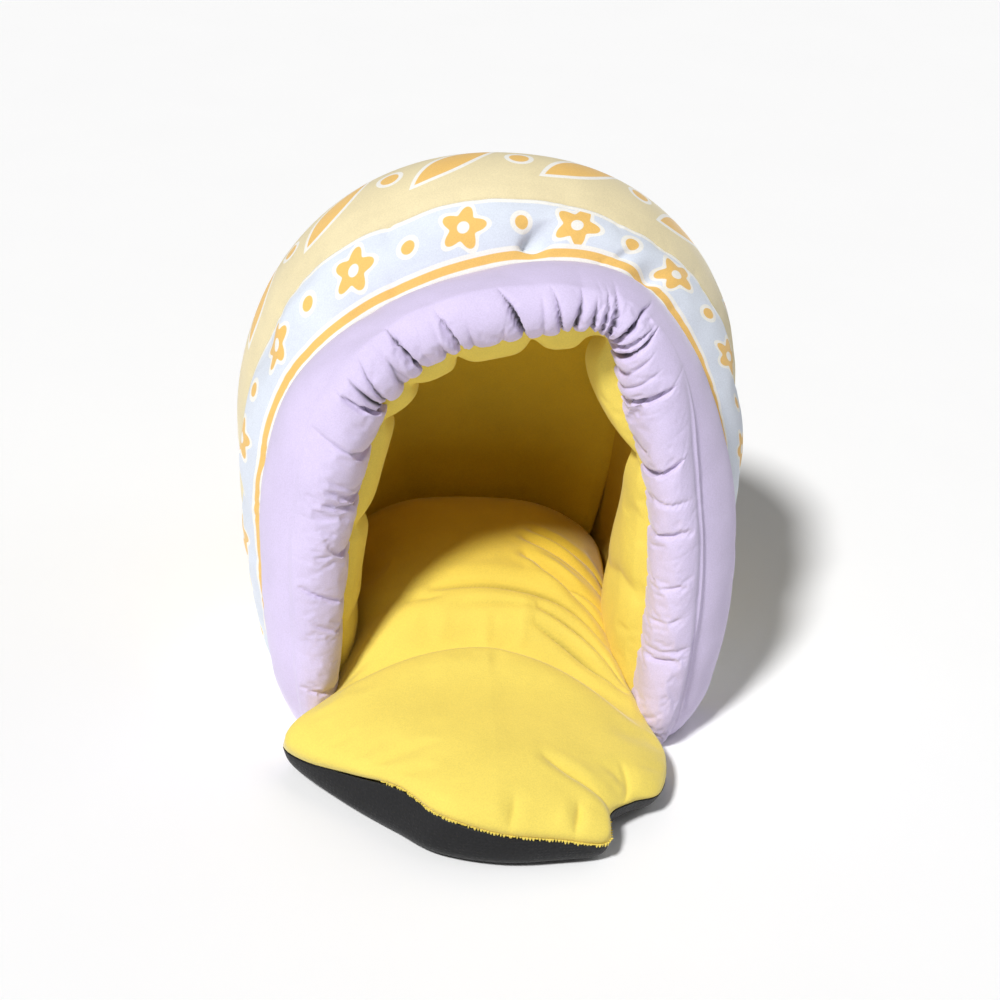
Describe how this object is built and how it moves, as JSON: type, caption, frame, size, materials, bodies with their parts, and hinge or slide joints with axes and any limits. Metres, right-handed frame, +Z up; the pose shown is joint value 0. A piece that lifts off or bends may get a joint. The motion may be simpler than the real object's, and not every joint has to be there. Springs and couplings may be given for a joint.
{
  "type": "padded dog cave bed with a tongue mat",
  "caption": "Soft filled cave bed for a small dog: a padded arch with a gathered rim, puffed lining, and a filled mat that runs out of the mouth as a tongue.",
  "frame": {"origin": "on the floor under the middle of the cave, on the flat underside of the base cloth", "axes": "+Z up, -Y out of the mouth along the tongue, +X to the right as seen from the front"},
  "size_m": [0.4837, 0.5908, 0.5189],
  "materials": {
    "lilac_plush": "smooth short-pile plush, lilac",
    "printed_band": "smooth short-pile plush, pale blue with a printed stripe and flowers",
    "printed_crown": "smooth short-pile plush, cream with printed leaves and dots",
    "cream_plush": "smooth short-pile plush, cream",
    "yellow_lining": "smooth short-pile plush, yellow",
    "yellow_mat": "smooth short-pile plush, yellow",
    "nonslip_cloth": "matt dotted non-slip cloth, black"
  },
  "bodies": {
    "root": {"front_rim": "lilac_plush", "shell_band": "printed_band", "shell_crown": "printed_crown", "back_panel": "cream_plush", "lining_arch": "yellow_lining", "lining_back": "yellow_lining", "cushion": "yellow_mat", "base_panel": "nonslip_cloth"}
  },
  "joints": []
}
